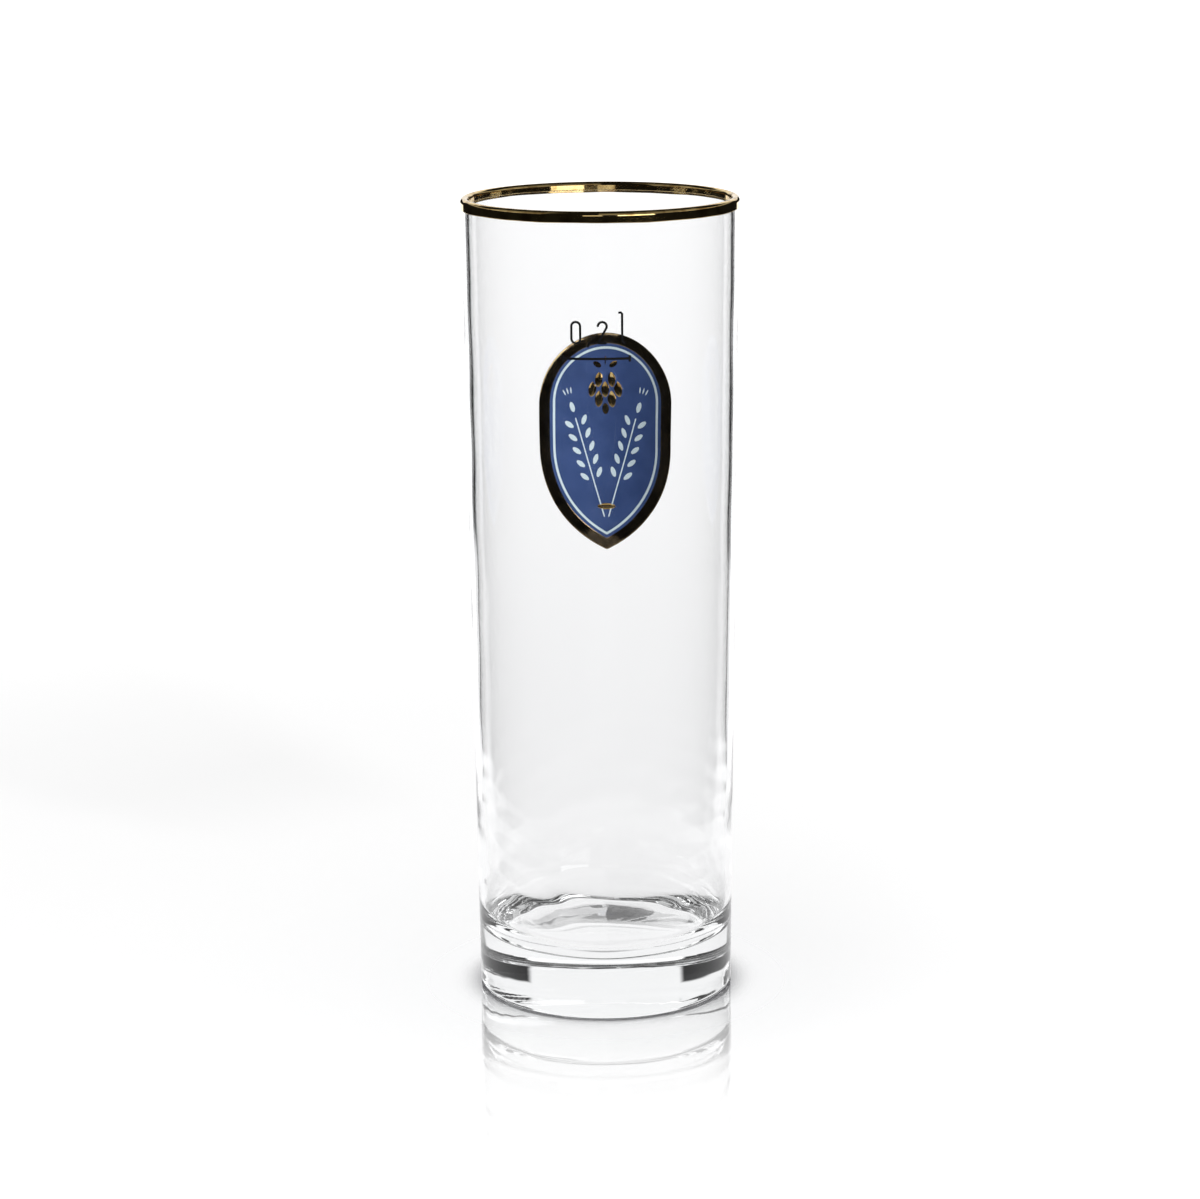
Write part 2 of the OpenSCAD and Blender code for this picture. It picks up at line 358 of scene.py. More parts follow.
def ripple(section, inner_start):
    """How far the glass stands out of its true form, for each point of the section and each step round it:
    a sum of slow sine waves in angle and height, strongest inside near the floor, with a fine wave up
    the lower wall, and a little round the heel and under the foot; none at the axis, at the lip and on
    the outer wall above the heel."""
    angle = once_round(GLASS_STEPS)
    r, z = section[:, :1], section[:, 1:]
    slow = waves(angle, r, z, SLOW_WAVES)
    fine = np.sin(FINE_UP * z + FINE_ROUND * angle + FINE_SWAY * np.sin(FINE_SWAY_ROUND * angle))
    swirl = np.sin(SWIRL_OUT * r + SWIRL_ROUND * angle + SWIRL_SWAY * np.sin(SWIRL_SWAY_ROUND * angle))
    low = 1 - smooth(z, LOW_WALL_START, LOW_WALL_END)
    within = RIPPLE_ALL * slow + low * (RIPPLE_LOW * slow + RIPPLE_FINE * fine)
    under = smooth(z, 0, BEARING_FADE) * (1 - smooth(z, UNDER_START, UNDER_END))
    beneath = under * (RIPPLE_FOOT * slow + RIPPLE_HEEL * swirl)
    inside = (np.arange(len(section)) >= inner_start)[:, None]
    fade = smooth(r, RIPPLE_R_START, RIPPLE_R_END) * (1 - smooth(z, LIP_FADE_START, LIP_FADE_END))
    return np.where(inside, within, beneath) * fade


def build_body(finish):
    """The glass: its section turned round the axis, each point moved by the ripple along the section's
    own outward direction."""
    section, inner_start = glass_outline()
    ahead = np.gradient(section, axis=0)
    ahead = ahead / np.linalg.norm(ahead, axis=1, keepdims=True)
    rings = turned(section, GLASS_STEPS)
    angle = once_round(GLASS_STEPS)
    shift = ripple(section, inner_start)
    rings[..., 0] += shift * ahead[:, 1:] * np.cos(angle)
    rings[..., 1] += shift * ahead[:, 1:] * np.sin(angle)
    rings[..., 2] -= shift * ahead[:, :1]
    return dress(mesh_piece("clear_body", (rings, False)), finish, "clear_glass", "glass_body")


# The gilded lip


def build_rim(finish):
    """The gilding: the lip's outline moved out by the film's thickness, which rounds off towards both
    edges, and back again inside the glass; turned round the axis, with edges that waver by hand."""
    lean = WALL_LEAN
    centre = lip_centre()
    out = np.array([math.cos(lean), -math.sin(lean)])
    up = np.array([math.sin(lean), math.cos(lean)])
    low_out = centre + LIP_R * out - up * (GOLD_OUT - LIP_R)
    low_in = centre - LIP_R * out - up * (GOLD_IN - LIP_R)
    outer = line(low_out, centre + LIP_R * out, GOLD_OUT_STEPS)[:-1]
    crown = arc(centre, LIP_R, -lean, math.pi - lean, GOLD_CROWN_STEPS)
    inner = line(centre - LIP_R * out, low_in, GOLD_IN_STEPS)[1:]
    path = np.concatenate([outer, crown, inner])
    normal = np.concatenate([0 * outer + out, (crown - centre) / LIP_R, 0 * inner - out])
    step = np.linalg.norm(np.diff(path, axis=0), axis=1)
    along = np.concatenate([[0], np.cumsum(step)])
    edge = rounded(np.minimum(along, along[-1] - along), GOLD_EDGE)[:, None]
    film = path + normal * (GOLD_T * edge - GOLD_SUNK * (1 - edge))
    fused = path - normal * GOLD_SUNK
    section = np.concatenate([film, fused[-2:0:-1]])
    rings = turned(section, GLASS_STEPS)
    waver = waves(once_round(GLASS_STEPS), 0, 0, GOLD_WAVES)
    below = smooth(centre[1] - section[:, 1], 0, GOLD_IN)[:, None]
    rings[..., 2] += GOLD_WAVER * below * waver
    return dress(mesh_piece("gilded_lip", (rings, True)), finish, "bright_gold", "gold_rim")


# The emblem


def shield(inset):
    """The shield's outline drawn in by inset, right half from the top to the point and left half back:
    a quarter circle about the shoulder, a straight side, and an arc about a centre beyond the axis
    that ends where it meets the axis. An array of insets adds a leading axis."""
    inset = np.asarray(inset, float)[..., None]
    swing = np.linspace(QUARTER, 0, SHOULDER_STEPS)[:-1]
    side_z = np.linspace(SHOULDER_Z, HIP_Z, SIDE_STEPS)[:-1]
    radius = TAIL_R - inset
    sweep = np.linspace(0, 1, TAIL_STEPS) * np.arccos(TAIL_X / radius)
    x = np.concatenate([
        (HALF_W - inset) * np.cos(swing),
        (HALF_W - inset) + 0 * side_z,
        radius * np.cos(sweep) - TAIL_X,
    ], axis=-1)
    z = np.concatenate([
        SHOULDER_Z + (HALF_W - inset) * np.sin(swing),
        side_z + 0 * inset,
        HIP_Z - radius * np.sin(sweep),
    ], axis=-1)
    return np.concatenate([x, -x[..., -2:0:-1]], axis=-1), np.concatenate([z, z[..., -2:0:-1]], axis=-1)


def flat_round(steps, roundness):
    """A loop that is flat above and below and rounded at its two ends: the cosine, and the sine with its
    size raised to a small power, its roundness."""
    angle = once_round(steps)
    lift = np.sin(angle)
    return np.cos(angle), np.sign(lift) * np.abs(lift) ** roundness


def shield_ring(near, far, out, sunk, steps, roundness):
    """A closed band that follows the shield between two insets: a flat loop across, carried round it."""
    across, lift = flat_round(steps, roundness)
    x, z = shield((near + far) / 2 - across * (far - near) / 2)
    height = (out - sunk) / 2 + lift * (out + sunk) / 2
    return on_wall(x, z, height[:, None], BACK), True


def shield_sheet(inset, out, sunk):
    """A closed sheet inside the shield's outline: the outline shrunk to the middle, outer skin first."""
    share = np.sin(np.linspace(SHEET_START, 1, SHEET_STEPS) * QUARTER)
    share = np.concatenate([share, share[-2::-1]])[:, None]
    skin_rows = SHEET_STEPS - 1
    lift = np.concatenate([np.full(skin_rows, out), [(out - sunk) / 2], np.full(skin_rows, -sunk)])[:, None]
    x, z = shield(inset)
    middle = (EMBLEM_TOP + EMBLEM_FOOT) / 2
    return on_wall(x * share, middle + (z - middle) * share, lift, BACK), False


def strokes(root, heading, length, width, out, sunk, side, square=False):
    """Closed strokes on the wall, one for each root point. A stroke runs from its root along its heading,
    measured from straight up towards +X. Half its width is that of a pointed oval between two arcs of
    radius (length squared + width squared) / (4 width), or constant with round ends for a square one,
    and its thickness swells with its width."""
    root, heading = np.asarray(root, float), np.asarray(heading, float)[:, None, None]
    length = np.broadcast_to(np.asarray(length, float), heading.shape[:1])[:, None, None]
    width = np.broadcast_to(np.asarray(width, float), heading.shape[:1])[:, None, None]
    along = ((1 - np.cos(np.linspace(0, math.pi, STROKE_ROWS)[1:-1])) / 2)[None, :, None] * length
    if square:
        end = np.minimum(along, length - along)
        share = rounded(end, width / 2)
    else:
        radius = (length ** 2 + width ** 2) / (4 * width)
        share = (np.sqrt(radius ** 2 - (along - length / 2) ** 2) - radius + width / 2) / (width / 2)
    across, lift = flat_round(STROKE_STEPS, STROKE_ROUNDNESS)
    across = across * share * width / 2
    swell = np.sqrt(share)
    x = root[:, 0, None, None] + along * np.sin(heading) + across * np.cos(heading)
    z = root[:, 1, None, None] + along * np.cos(heading) - across * np.sin(heading)
    height = (out - sunk) / 2 + lift * swell * (out + sunk) / 2
    return on_wall(x, z, height, side), False


def ear_stem():
    """Foot, lean and length of the right-hand ear's stem: a straight line from beside the emblem's axis to
    where the grains at its tip still clear the white line."""
    reach = BESIDE_STEM + GRAIN_L * math.sin(GRAIN_SPLAY) + GRAIN_W / 2
    tip = np.array([HALF_W - FIELD_INSET - MOTIF_GAP - reach, SHOULDER_Z - STEM_DROP])
    foot = np.array([BESIDE_STEM, EMBLEM_FOOT + STEM_RISE])
    return foot, math.atan2(tip[0] - foot[0], tip[1] - foot[1]), np.linalg.norm(tip - foot)


def ear_strokes():
    """Roots, headings, lengths and widths of the right-hand ear's grains and bristles: pairs of grains one
    step apart down the stem, one grain at the tip, and a fan of bristles past it."""
    foot, lean, stem_l = ear_stem()
    level = stem_l - GRAIN_STEP * np.arange(1, GRAIN_PAIRS + 1)
    fan = np.array([-AWN_FAN, 0, AWN_FAN])
    awn = GRAIN_L / 2 + STROKE_GAP
    roots = np.concatenate([
        np.stack([0 * level + BESIDE_STEM, level], axis=-1),
        np.stack([0 * level - BESIDE_STEM, level], axis=-1),
        [[0, stem_l]],
        np.stack([np.sin(fan) * awn, stem_l + GRAIN_L / 2 + np.cos(fan) * awn], axis=-1),
    ])
    grains = 2 * GRAIN_PAIRS + 1
    heading = np.concatenate([0 * level + GRAIN_SPLAY, 0 * level - GRAIN_SPLAY, [0], fan])
    length = np.concatenate([np.full(grains, GRAIN_L), np.full(len(fan), AWN_L)])
    width = np.concatenate([np.full(grains, GRAIN_W), np.full(len(fan), STEM_W)])
    turn = np.array([[math.cos(lean), -math.sin(lean)], [math.sin(lean), math.cos(lean)]])
    return roots @ turn + foot, heading + lean, length, width


def mirrored(root, heading):
    """A set of strokes and its mirror image."""
    flip = np.array([-1, 1])
    return np.concatenate([root, root * flip]), np.concatenate([heading, -heading])


def build_ears(finish):
    """Two white ears of barley that lean apart."""
    root, heading, length, width = ear_strokes()
    root, heading = mirrored(root, heading)
    grains = strokes(root, heading, np.tile(length, 2), np.tile(width, 2), MOTIF_OUT, MOTIF_SUNK, BACK)
    foot, lean, stem_l = ear_stem()
    root, heading = mirrored(foot[None], np.array([lean]))
    stems = strokes(root, heading, stem_l - STROKE_GAP, STEM_W, MOTIF_OUT, MOTIF_SUNK, BACK, True)
    return dress(mesh_piece("white_ears", grains, stems), finish, "white_enamel", "barley_ears")


def build_band(finish):
    """The gold band: one pointed oval laid across both stems."""
    foot, lean, _ = ear_stem()
    band_w = 2 * (foot[0] + BAND_RISE * math.tan(lean) + BAND_H)
    root = [[-band_w / 2, foot[1] + BAND_RISE]]
    out, sunk = MOTIF_OUT + ROW_LIFT, MOTIF_SUNK + ROW_LIFT
    band = strokes(root, [QUARTER], band_w, BAND_H, out, sunk, BACK)
    return dress(mesh_piece("gold_band", band), finish, "bright_gold", "stem_band")


def hop_row(row, grow):
    """One row of hanging scales: even places about the middle, the outer ones turned outwards."""
    last = HOP_ROWS[row] - 1
    place = np.arange(HOP_ROWS[row]) - last / 2
    heading = math.pi - place * SCALE_TURN
    top = LEAF_ROOT - STROKE_GAP - row * ROW_PITCH
    root = np.stack([place * SCALE_PITCH, 0 * place + top], axis=-1)
    root = root - grow * np.stack([np.sin(heading), np.cos(heading)], axis=-1)
    above = (len(HOP_ROWS) - 1 - row) * 2 * ROW_LIFT - (ROW_LIFT if grow else 0)
    return strokes(root, heading, SCALE_L + 2 * grow, SCALE_W + 2 * grow,
                   MOTIF_OUT + above, MOTIF_SUNK + above, BACK)


def build_hop(gold, blue):
    """The gold hop cone: each row of scales lies over the next one down, on a blue edge of its own."""
    scales = [hop_row(row, 0) for row in range(len(HOP_ROWS))]
    root = np.array([[STROKE_GAP, LEAF_ROOT], [-STROKE_GAP, LEAF_ROOT], [0, LEAF_ROOT]])
    leaves = strokes(root, [LEAF_TURN, -LEAF_TURN, 0], LEAF_L, [LEAF_W, LEAF_W, STEM_W],
                     MOTIF_OUT, MOTIF_SUNK, BACK)
    dress(mesh_piece("gold_hop", leaves, *scales), gold, "bright_gold", "hop_cone")
    edges = [hop_row(row, STROKE_GAP) for row in range(len(HOP_ROWS) - 1)]
    dress(mesh_piece("hop_edges", *edges), blue, "blue_enamel")


def build_emblem(gold, relief, blue, white):
    """The shield: gold border, blue field, white line and the motifs."""
    border = shield_ring(0, BORDER_W, BORDER_OUT, BORDER_SUNK, BORDER_STEPS, BORDER_ROUNDNESS)
    dress(mesh_piece("gold_border", border), relief, "relief_gold", "shield_border")
    field = shield_sheet(BORDER_W - STROKE_GAP, FIELD_OUT, FIELD_SUNK)
    dress(mesh_piece("blue_field", field), blue, "blue_enamel", "shield_field")
    inner_line = shield_ring(LINE_INSET, FIELD_INSET, LINE_OUT, LINE_SUNK, LINE_STEPS, LINE_ROUNDNESS)
    dress(mesh_piece("white_line", inner_line), white, "white_enamel", "shield_line")
    build_ears(white)
    build_band(gold)
    build_hop(gold, blue)


# The fill mark


def ribbon(path, stroke, looped=False):
    """A drawn stroke on the front wall: a flat loop, one stroke wide, carried along a path in the plane.
    It stands square to the path's own direction, and an open path's ends are rounded off."""
    if looped:
        ahead = np.roll(path, -1, axis=0) - np.roll(path, 1, axis=0)
        share = np.ones(len(path))
    else:
        ahead = np.gradient(path, axis=0)
        step = np.linalg.norm(np.diff(path, axis=0), axis=1)
        along = np.concatenate([[0], np.cumsum(step)])
        share = np.maximum(rounded(np.minimum(along, along[-1] - along), stroke / 2), RIBBON_END)
    ahead = ahead / np.linalg.norm(ahead, axis=1, keepdims=True)
    across, lift = flat_round(RIBBON_STEPS, STROKE_ROUNDNESS)
    across = across * share[:, None] * stroke / 2
    x = path[:, :1] + across * ahead[:, 1:]
    z = path[:, 1:] - across * ahead[:, :1]
    height = (MARK_OUT - MARK_SUNK) / 2 + lift * share[:, None] * (MARK_OUT + MARK_SUNK) / 2
    return on_wall(x, z, height, FRONT), looped


def build_mark(finish):
    """The black fill line: a level bar with a short upright at each end."""
    reach = (MARK_W - MARK_STROKE) / 2
    root = np.array([[-MARK_W / 2, MARK_Z], [-reach, MARK_Z - TICK_H / 2], [reach, MARK_Z - TICK_H / 2]])
    bars = strokes(root, [QUARTER, 0, 0], [MARK_W, TICK_H, TICK_H], MARK_STROKE,
                   MARK_OUT, MARK_SUNK, FRONT, True)
    return dress(mesh_piece("black_fill_line", bars), finish, "black_enamel", "fill_line")


def build_figures(finish):
    """The measure above the line: a nought of two half rounds and two straights, a comma, a two of an arc,
    a slope and a foot, and a litre sign with a flag at its top and a curl at its foot."""
    half = (FIGURE_W - FIGURE_STROKE) / 2
    base, top = FIGURE_Z + FIGURE_STROKE / 2, FIGURE_Z + FIGURE_H - FIGURE_STROKE / 2
    low, high = base + half, top - half
    nought = np.concatenate([
        arc((NOUGHT_X, high), half, 0, math.pi, NOUGHT_STEPS),
        line((NOUGHT_X - half, high), (NOUGHT_X - half, low), NOUGHT_SIDE_STEPS)[1:-1],
        arc((NOUGHT_X, low), half, math.pi, ROUND, NOUGHT_STEPS),
        line((NOUGHT_X + half, low), (NOUGHT_X + half, high), NOUGHT_SIDE_STEPS)[1:-1],
    ])
    comma_top = (COMMA_X + COMMA_LEAN * half, base + COMMA_RISE * half)
    comma = line(comma_top, (COMMA_X - COMMA_LEAN * half, base - COMMA_DROP * half), COMMA_STEPS)
    hook = arc((TWO_X, high), half, HOOK_START, HOOK_END, HOOK_STEPS)
    diagonal = line(hook[-1], (TWO_X - half, base), DIAGONAL_STEPS)[1:]
    foot = line((TWO_X - half, base), (TWO_X + half, base), TWO_FOOT_STEPS)
    litre_top = FIGURE_Z + LITRE_H - FIGURE_STROKE / 2
    curl = CURL * half
    stem = np.concatenate([
        line((LITRE_X, litre_top), (LITRE_X, base + curl), LITRE_STEPS)[:-1],
        arc((LITRE_X + curl, base + curl), curl, math.pi, 3 * QUARTER, CURL_STEPS),
    ])
    flag = line((LITRE_X - FLAG * half, litre_top), (LITRE_X, litre_top), FLAG_STEPS)
    paths = (np.concatenate([hook, diagonal]), foot, comma, stem, flag)
    parts = [ribbon(nought, FIGURE_STROKE, True)] + [ribbon(path, FIGURE_STROKE) for path in paths]
    return dress(mesh_piece("fill_figures", *parts), finish, "black_enamel")


# Finishes


class Value:
    """A number in a node tree: arithmetic on it adds Math nodes."""

    def __init__(self, finish, socket):
        self.finish = finish
        self.socket = socket

    def math(self, operation, left, right):
        """A Math node on two values."""
        return self.finish.node("ShaderNodeMath", {"operation": operation}, {0: left, 1: right})

    def __add__(self, other):
        return self.math("ADD", self, other)

    def __radd__(self, other):
        return self.math("ADD", other, self)

    def __sub__(self, other):
        return self.math("SUBTRACT", self, other)

    def __rsub__(self, other):
        return self.math("SUBTRACT", other, self)

    def __mul__(self, other):
        return self.math("MULTIPLY", self, other)

    def __rmul__(self, other):
        return self.math("MULTIPLY", other, self)

    def __abs__(self):
        return self.math("ABSOLUTE", self, 0)


class Finish:
    """The node tree of one material, or of the world, built from expressions."""

    def __init__(self, owner):
        owner.use_nodes = True
        self.owner = owner
        self.tree = owner.node_tree
        self.tree.nodes.clear()

    def node(self, kind, settings=None, sockets=None, out=0):
        """Adds a node: its settings first, then the values or links of its sockets."""
        made = self.tree.nodes.new(kind)
        for name, value in (settings or {}).items():
            setattr(made, name, value)
        for name, value in (sockets or {}).items():
            if isinstance(value, Value):
                self.tree.links.new(value.socket, made.inputs[name])
            else:
                made.inputs[name].default_value = value
        return Value(self, made.outputs[out]) if made.outputs else None

    def place(self):
        """Object coordinates, in metres."""
        return self.node("ShaderNodeTexCoord", out="Object")

    def axes(self, at):
        """The X, Y and Z of a vector."""
        return [self.node("ShaderNodeSeparateXYZ", {}, {"Vector": at}, axis) for axis in "XYZ"]

    def ray(self, kind):
        """1 for a ray of one kind, or else 0."""
        return self.node("ShaderNodeLightPath", out=f"Is {kind} Ray")

    def noise(self, at, scale, detail=2.0):
        """Noise from 0 to 1 with that many cells to the metre."""
        return self.node("ShaderNodeTexNoise", {}, {"Vector": at, "Scale": scale, "Detail": detail})

    def step(self, value, low, high):
        """Smooth step from 0 at low to 1 at high."""
        return self.node("ShaderNodeMapRange", {"interpolation_type": "SMOOTHSTEP"}, {
            "Value": value, "From Min": low, "From Max": high})

    def past(self, value, limit, blur):
        """1 past a limit, with an edge that is soft to both sides of it."""
        return self.step(value, limit - blur, limit + blur)

    def between(self, value, low, high, blur):
        """1 between two limits, with edges that are soft outside them."""
        return self.step(value, low - blur, low) * (1 - self.step(value, high, high + blur))

    def mix(self, share, first, second):
        """A colour between two colours."""
        return self.node("ShaderNodeMix", {"data_type": "RGBA"}, {0: share, 6: first, 7: second}, 2)

    def bump(self, height, distance):
        """The normal over a height from 0 to 1, with 1 standing that many metres high."""
        return self.node("ShaderNodeBump", {}, {"Height": height, "Distance": distance})

    def surface(self, sockets, volume=None):
        """Ends the tree in one surface, and in what fills it."""
        ends = {"Surface": self.node("ShaderNodeBsdfPrincipled", {}, sockets)}
        if volume:
            ends["Volume"] = volume
        self.node("ShaderNodeOutputMaterial", {}, ends)
        return self.owner


def material(name):
    """An empty material to build on."""
    return Finish(bpy.data.materials.new(name))


WHITE, BLACK = (1, 1, 1, 1), (0, 0, 0, 1)

# Clear glass: its tint, and its wiping marks
GLASS_IOR = 1.5
GLASS_TINT, GLASS_DENSITY = (0.86, 0.92, 0.90, 1), 2.0
WIPE_CELLS, WIPE_DETAIL = 90.0, 3.0
WIPE_START, WIPE_END, WIPE_ROUGH = 0.55, 0.8, 0.01


def clear_glass():
    """Clear glass with faint wiping marks, and the slight green-grey of a thick piece."""
    glass = material("clear_glass")
    wipe = glass.noise(glass.place(), WIPE_CELLS, WIPE_DETAIL)
    tint = glass.node("ShaderNodeVolumeAbsorption", {}, {"Color": GLASS_TINT, "Density": GLASS_DENSITY})
    return glass.surface({
        "Base Color": WHITE,
        "Roughness": glass.step(wipe, WIPE_START, WIPE_END) * WIPE_ROUGH,
        "IOR": GLASS_IOR,
        "Transmission Weight": 1.0,
    }, tint)


# Fired gold: colours where it is thick and thin, cells to the metre, and how rough and high its grain is
BRIGHT_GOLD, BRIGHT_THIN = (0.82, 0.60, 0.26, 1), (0.42, 0.25, 0.08, 1)
# The relief gold is a darker, duller copy of the bright gold: partly the border's own duller gold, partly
# painted shade standing in for its dark reflections.
SHADED_RELIEF_GOLD, SHADED_RELIEF_THIN = (0.52, 0.40, 0.24, 1), (0.20, 0.13, 0.07, 1)
BRIGHT_SPECKS, RELIEF_SPECKS = 5200.0, 3600.0
BRIGHT_BUMP, RELIEF_BUMP = 0.002 * MM, 0.004 * MM
GOLD_CLOUDS, GOLD_CLOUD_DETAIL = 420.0, 3.0
GOLD_ROUGH, OUTER_ROUGH = 0.03, 0.3
THIN_START, THIN_END = 0.42, 0.72
GOLD_SPECK_START, GOLD_SPECK_END = 0.45, 0.75
CLOUD_ROUGH, SPECK_ROUGH = 0.04, 0.04
GOLD_SPECK_BUMP = 0.1
OUTER_LIFT = 0.05 * MM


def fired_gold(name, bright, thin, specks, relief, outer_rough):
    """Fired gold: thin brownish places, a fine grain, and gloss that comes and goes. An outer face, which
    lifts off the wall, can be duller than the gold that lies on the glass."""
    gold = material(name)
    at = gold.place()
    cloud = gold.noise(at, GOLD_CLOUDS, GOLD_CLOUD_DETAIL)
    speck = gold.noise(at, specks)
    grain = gold.step(speck, GOLD_SPECK_START, GOLD_SPECK_END)
    rough = GOLD_ROUGH + CLOUD_ROUGH * cloud + SPECK_ROUGH * grain
    if outer_rough:
        x, y, z = gold.axes(at)
        lift = x.math("SQRT", x * x + y * y, 0) - (FOOT_R + SLOPE * z)
        rough = rough + outer_rough * gold.step(lift, 0, OUTER_LIFT)
    return gold.surface({
        "Base Color": gold.mix(gold.step(cloud, THIN_START, THIN_END), bright, thin),
        "Metallic": 1.0,
        "Roughness": rough,
        "Normal": gold.bump(GOLD_SPECK_BUMP * speck + (1 - GOLD_SPECK_BUMP) * cloud, relief),
    })


# Fired enamel: colours, cells to the metre, and how rough and high its grain is
BLUE, BLUE_DEEP, BLUE_ROUGH = (0.075, 0.11, 0.29, 1), (0.045, 0.072, 0.21, 1), 0.14
PALE, PALE_DEEP, PALE_ROUGH = (0.90, 0.92, 0.98, 1), (0.80, 0.82, 0.90, 1), 0.16
DARK, DARK_DEEP, DARK_ROUGH = (0.004, 0.004, 0.005, 1), (0.008, 0.008, 0.008, 1), 0.4
ENAMEL_GLOSS, DARK_GLOSS = 0.2, 0.03
ENAMEL_CLOUDS, ENAMEL_CLOUD_DETAIL = 160.0, 3.0
ENAMEL_SPECKS, ENAMEL_SPECK_DETAIL = 4200.0, 1.0
ENAMEL_CLOUD_START, ENAMEL_CLOUD_END = 0.3, 0.75
ENAMEL_SPECK_START, ENAMEL_SPECK_END = 0.4, 0.8
ENAMEL_CLOUD_SHARE = 0.7
ENAMEL_CLOUD_ROUGH = 0.12
ENAMEL_BUMP = 0.006 * MM


def fired_enamel(name, colour, deep, rough, gloss):
    """Fired enamel: a colour with fine printed grain, cloudy places and a soft uneven gloss."""
    enamel = material(name)
    at = enamel.place()
    cloud = enamel.noise(at, ENAMEL_CLOUDS, ENAMEL_CLOUD_DETAIL)
    speck = enamel.noise(at, ENAMEL_SPECKS, ENAMEL_SPECK_DETAIL)
    cloudy = enamel.step(cloud, ENAMEL_CLOUD_START, ENAMEL_CLOUD_END)
    grainy = enamel.step(speck, ENAMEL_SPECK_START, ENAMEL_SPECK_END)
    share = ENAMEL_CLOUD_SHARE * cloudy + (1 - ENAMEL_CLOUD_SHARE) * grainy
    return enamel.surface({
        "Base Color": enamel.mix(share, colour, deep),
        "Roughness": rough + ENAMEL_CLOUD_ROUGH * cloud,
        "IOR": GLASS_IOR,
        "Specular IOR Level": gloss,
        "Normal": enamel.bump(0.5 * speck + 0.5 * cloud, ENAMEL_BUMP),
    })


# The studio


def add_camera():
    """The photograph's camera: back along its azimuth, above the foot, pitched down and rolled."""
    right = Vector((math.cos(CAMERA_TURN), math.sin(CAMERA_TURN), 0))
    away = Vector((-math.sin(CAMERA_TURN), math.cos(CAMERA_TURN), 0))
    look = away * math.cos(CAMERA_PITCH) - Vector((0, 0, math.sin(CAMERA_PITCH)))
    above = right.cross(look)
    across = right * math.cos(CAMERA_ROLL) + above * math.sin(CAMERA_ROLL)
    upward = above * math.cos(CAMERA_ROLL) - right * math.sin(CAMERA_ROLL)
    where = right * CAMERA_ASIDE - away * CAMERA_BACK + Vector((0, 0, CAMERA_UP))
    lens = bpy.data.cameras.new("camera")
    lens.lens = CAMERA_LENS
    lens.sensor_width = CAMERA_SENSOR
    camera = bpy.data.objects.new("camera", lens)
    bpy.context.scene.collection.objects.link(camera)
    axes = Matrix((across, upward, -look)).transposed().to_4x4()
    camera.matrix_world = Matrix.Translation(where) @ axes
    bpy.context.scene.camera = camera
    bpy.context.view_layer.update()
    return camera


def carried_by(camera, thing, matrix):
    """Puts part of the studio in its place and lets it go round with the camera."""
    thing.parent = camera
    thing.matrix_parent_inverse = camera.matrix_world.inverted()
    thing.matrix_world = matrix


# The studio's shell, in angles seen from the glass: up from the level, off the plane through glass and
# camera, round from straight behind the glass, or round from the camera
SHELL_R = 3.0
SHELL_ROWS, SHELL_STEPS = 50, 96
SHELL_COLOUR, SHELL_DARK = (0.99, 0.992, 1), 0.01
SHELL_BLUR, SHARP_BLUR = math.radians(1.5), math.radians(0.3)
METAL_SHARE = 0.4
BACKDROP_HALF, BACKDROP_HALF_ABOVE = math.radians(26), math.radians(25)
BACKDROP_TOP = math.radians(32)
BACKDROP_LIGHT, BACKDROP_DIM = 1.16, 0.97
BACKDROP_LOW, BACKDROP_HIGH = math.radians(-22), math.radians(-4)
BEHIND_START, BEHIND_END = -0.15, 0.10
FLARE, FLARE_NEAR, FLARE_FAR = 0.4, math.radians(4), math.radians(24)
FLARE_LOW, FLARE_HIGH = math.radians(-18), math.radians(-16)
RAIL_LOW, RAIL_HIGH, RAIL_START = math.radians(-3.9), math.radians(9), math.radians(11)
TABLE_LOW, TABLE_HIGH = math.radians(-13.2), math.radians(-11.8)
TABLE_NEAR, TABLE_FAR = math.radians(70), math.radians(170)
TABLE_LIGHT, TABLE_DIM = 0.97, 0.5
CARD_START, CARD_DROP = math.radians(34.5), math.radians(4.0)
FLANK_START, FLANK_END, FLANK_DROP = math.radians(55), math.radians(72), math.radians(2.5)
SHADE_LOW, SHADE_HIGH = math.radians(-26), math.radians(-14)
SKY_LOW, SKY_HIGH, SKY_END = math.radians(19), math.radians(26), math.radians(110)
SKY_LIGHT = 0.95
PANEL_LOW, PANEL_MIDDLE, PANEL_TOP = math.radians(20), math.radians(45), math.radians(70)
PANEL_START = math.radians(68)
PANEL_LIGHT, PANEL_DIM = 0.65, 0.25
GAP_LEFT, GAP_RIGHT = math.radians(-50), math.radians(-2)
KEY_LEFT, KEY_RIGHT, KEY_LIGHT = math.radians(15), math.radians(44), 3.0
FILL_LEFT, FILL_RIGHT, FILL_LIGHT = math.radians(-13), math.radians(1), 0.8
BOX_LOW, BOX_HIGH = math.radians(-3.7), math.radians(15)


